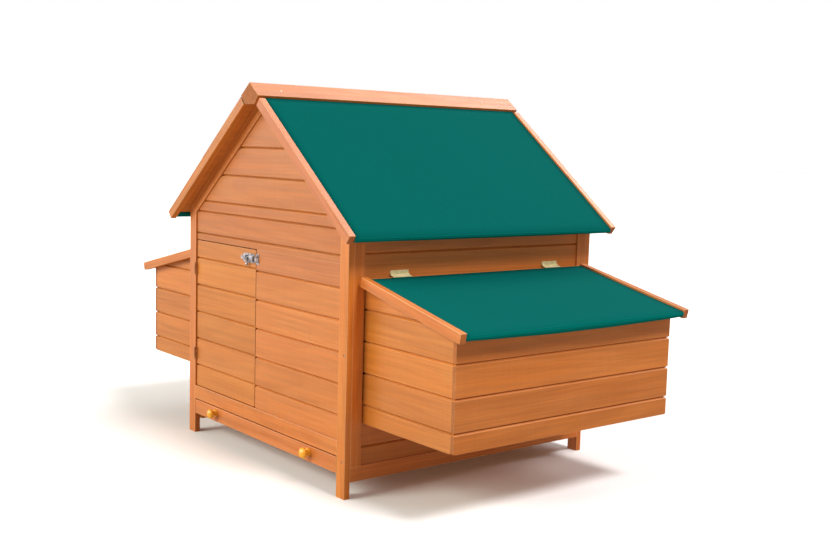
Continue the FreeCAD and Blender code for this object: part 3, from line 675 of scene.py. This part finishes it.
def add_hinge_screws(node):
    """Two screws in the flat of each hinge leaf of a node."""
    leaves = mesh_of(node)
    merge_flat(leaves)
    screws = bmesh.new()
    for island in islands_of(leaves):
        outward = Vector((math.copysign(1, middle_of(island).x), 0, 1))
        faces = [face for vert in island for face in vert.link_faces
                 if face.normal.dot(outward) > 0.5 and abs(face.normal.y) < 0.1]
        flat = max(faces, key=lambda face: face.calc_area())
        for offset in (-SCREW_OFFSET, SCREW_OFFSET):
            place = flat.calc_center_bounds() + Y_WAY * offset
            screw_head(screws, place, flat.normal.copy(), Y_WAY, SCREW_RADIUS)
    leaves.free()
    bmesh.ops.recalc_face_normals(screws, faces=screws.faces)
    add_piece(f"{node}_screws", screws, BRASS, node)


# ---------------------------------------------------------------- stage, light and camera

WHITE = (1.0, 1.0, 1.0)
WARM = (1.0, 1.07, 0.95)
PEACH = (1.0, 0.86, 0.76)
FLOOR_TONES = ((0.94, 0.94, 0.95, 1), (0.96, 0.96, 0.97, 1))
FLOOR_BOUNCE = (0.34, 0.29, 0.25, 1)
VIEW_PLACE = (2.7727, -2.1004, 0.9329)
VIEW_FORWARD = (-0.7746, 0.6216, -0.1166)
VIEW_RIGHT = (0.6231, 0.7817, 0.0280)
VIEW_LENS = 48.13


def add_floor():
    """A pale floor that throws little light back up, as if its bright part were small."""
    bpy.ops.mesh.primitive_circle_add(vertices=96, radius=60, fill_type="NGON")
    floor = bpy.context.object
    floor.name = "floor"
    graph = Surface("floor_paint")
    mottle = graph.noise(graph.object_place(), scale=0.8, detail=2.0)
    colour = graph.mix(graph.ray_is("Camera"), FLOOR_BOUNCE, graph.mix(mottle, *FLOOR_TONES))
    paint = graph.finish(Base_Color=colour, Roughness=0.9, Specular_IOR_Level=0.0)
    floor.data.materials.append(paint)
    floor.visible_shadow = False


def add_sun(name, toward, strength, spread, colour=WHITE, sheen_only=False):
    """A very wide, soft lamp whose light comes from the direction given."""
    data = bpy.data.lights.new(name, "SUN")
    data.energy = strength
    data.angle = math.radians(spread)
    data.color = colour
    lamp = bpy.data.objects.new(name, data)
    lamp.rotation_euler = Vector(toward).to_track_quat("Z", "Y").to_euler()
    lamp.visible_diffuse = not sheen_only
    bpy.context.scene.collection.objects.link(lamp)


def add_world(diffuse, glossy, camera, tint):
    """Even tinted studio light, dim in reflections, with a bright white backdrop."""
    world = bpy.data.worlds.new("studio")
    world.use_nodes = True
    graph = Graph(world.node_tree)
    background = graph.nodes["Background"]
    to_light = graph.spread(graph.ray_is("Glossy"), 0.0, 1.0, diffuse, glossy, smooth=False)
    strength = graph.spread(graph.ray_is("Camera"), 0.0, 1.0, to_light, camera, smooth=False)
    graph.put(strength, background.inputs["Strength"])
    colour = graph.mix(graph.ray_is("Camera"), (*tint, 1), (*WHITE, 1))
    graph.put(colour, background.inputs["Color"])
    bpy.context.scene.world = world


def add_camera():
    """The photograph's view: from the front right, a little above the nest lids."""
    forward = Vector(VIEW_FORWARD).normalized()
    right = Vector(VIEW_RIGHT)
    right = (right - forward * right.dot(forward)).normalized()
    up = right.cross(forward)
    data = bpy.data.cameras.new("photo_view")
    data.sensor_width = 36
    data.lens = VIEW_LENS
    data.clip_end = 200
    camera = bpy.data.objects.new("photo_view", data)
    turned = Matrix((right, up, -forward)).transposed().to_4x4()
    camera.matrix_world = Matrix.Translation(VIEW_PLACE) @ turned
    bpy.context.scene.collection.objects.link(camera)
    bpy.context.scene.camera = camera


# ---------------------------------------------------------------- the house

ROOF_FELT = {"cut": (0.955, 0.623), "sag": 0.8}
LID_FELT = {"cut": (0.802, 0.446), "sag": 7.0}
ODD_TIMBERS = {"roof_battens": {"blushes": (0.45, 0.55), "lean": 0.45},
               "front_post_right": {"blushes": (0.0, 0.1), "tones": (0.8, 1.0)},
               "ridge_beam": {"tones": (0.0, 0.4)}}
BOARDS = {"across": Z_WAY, "ease": 1.0, "corner": 2.6}
FACING_FRONT = {"along": X_WAY, **BOARDS}
FACING_SIDE = {"along": Y_WAY, "blushes": (0.5, 1.0), **BOARDS}
HARDWARE = {"zinc_steel": ZINC, "brassed_steel": BRASS, "lacquered_knob": LACQUER}
OWN_FINISH = {"frame_screws": SCREWS, "door_hinge_door_leaves": STAINED_BRASS,
              "door_hinge_frame_leaves": STAINED_BRASS}

for node, slot in SLOT_OF.items():
    if slot in ("stained_frame", "stained_inner"):
        dress(node, **ODD_TIMBERS.get(node, {}))
    elif slot == "green_felt":
        dress_felt(node, **(LID_FELT if node.startswith("lid") else ROOF_FELT))
# The gable panels take only the darkest tones: painted shade, since they are otherwise fully lit.
for node in ("front_upper_panel", "back_panel"):
    dress(node, blushes=(0.3, 0.8), tones=(0.0, 0.15), **FACING_FRONT)
dress("front_fixed_panel", blushes=(0.4, 0.9), **FACING_FRONT)
dress("door_panel", blushes=(0.0, 0.35), **FACING_FRONT)
for side in ("right", "left"):
    dress(f"nest_end_panels_{side}", blushes=(0.1, 0.5), **FACING_FRONT)
    # The nest's outer panels take darker tones, painted shade under the lids, and the upper side
    # panels lighter ones, painted light in the shade of the eave.
    dress(f"nest_outer_panel_{side}", tones=(0.0, 0.6), **FACING_SIDE)
    dress(f"side_upper_panel_{side}", tones=(0.7, 1.0), **FACING_SIDE)
    dress(f"side_lower_panel_{side}", tones=(0.0, 0.4), **FACING_SIDE)
    dress(f"roof_deck_{side}", along=Y_WAY)
    dress(f"lid_deck_{side}", across=slope_down(f"lid_deck_{side}"), along=Y_WAY, ease=1.0)

for node, slot in SLOT_OF.items():
    if slot in HARDWARE:
        mesh = frame["nodes"][node].data
        mesh.materials.clear()
        mesh.materials.append(OWN_FINISH.get(node, HARDWARE[slot]))
for node in ("lid_hinge_wall_leaves", "lid_hinge_leaves_right", "lid_hinge_leaves_left"):
    add_hinge_screws(node)

add_floor()
add_world(diffuse=0.31, glossy=0.12, camera=1.0, tint=PEACH)
add_sun("key", (-0.15, -0.84, 0.50), strength=1.95, spread=28, colour=WARM)
add_sun("side", (0.56, 0.10, 0.82), strength=2.6, spread=18, colour=(1.0, 0.98, 0.97))
add_sun("low_right", (0.90, -0.30, -0.20), strength=0.5, spread=60, colour=PEACH)
add_sun("low_left", (-0.72, -0.66, 0.20), strength=1.4, spread=40)
add_sun("floor_light", (0.15, -0.80, -0.55), strength=0.75, spread=70, colour=WARM)
add_sun("back", (0.0, 0.80, 0.50), strength=1.2, spread=40)
add_sun("top_back", (-0.10, 0.60, 0.80), strength=1.4, spread=40, sheen_only=True)
bpy.context.scene.view_settings.view_transform = "Standard"
add_camera()
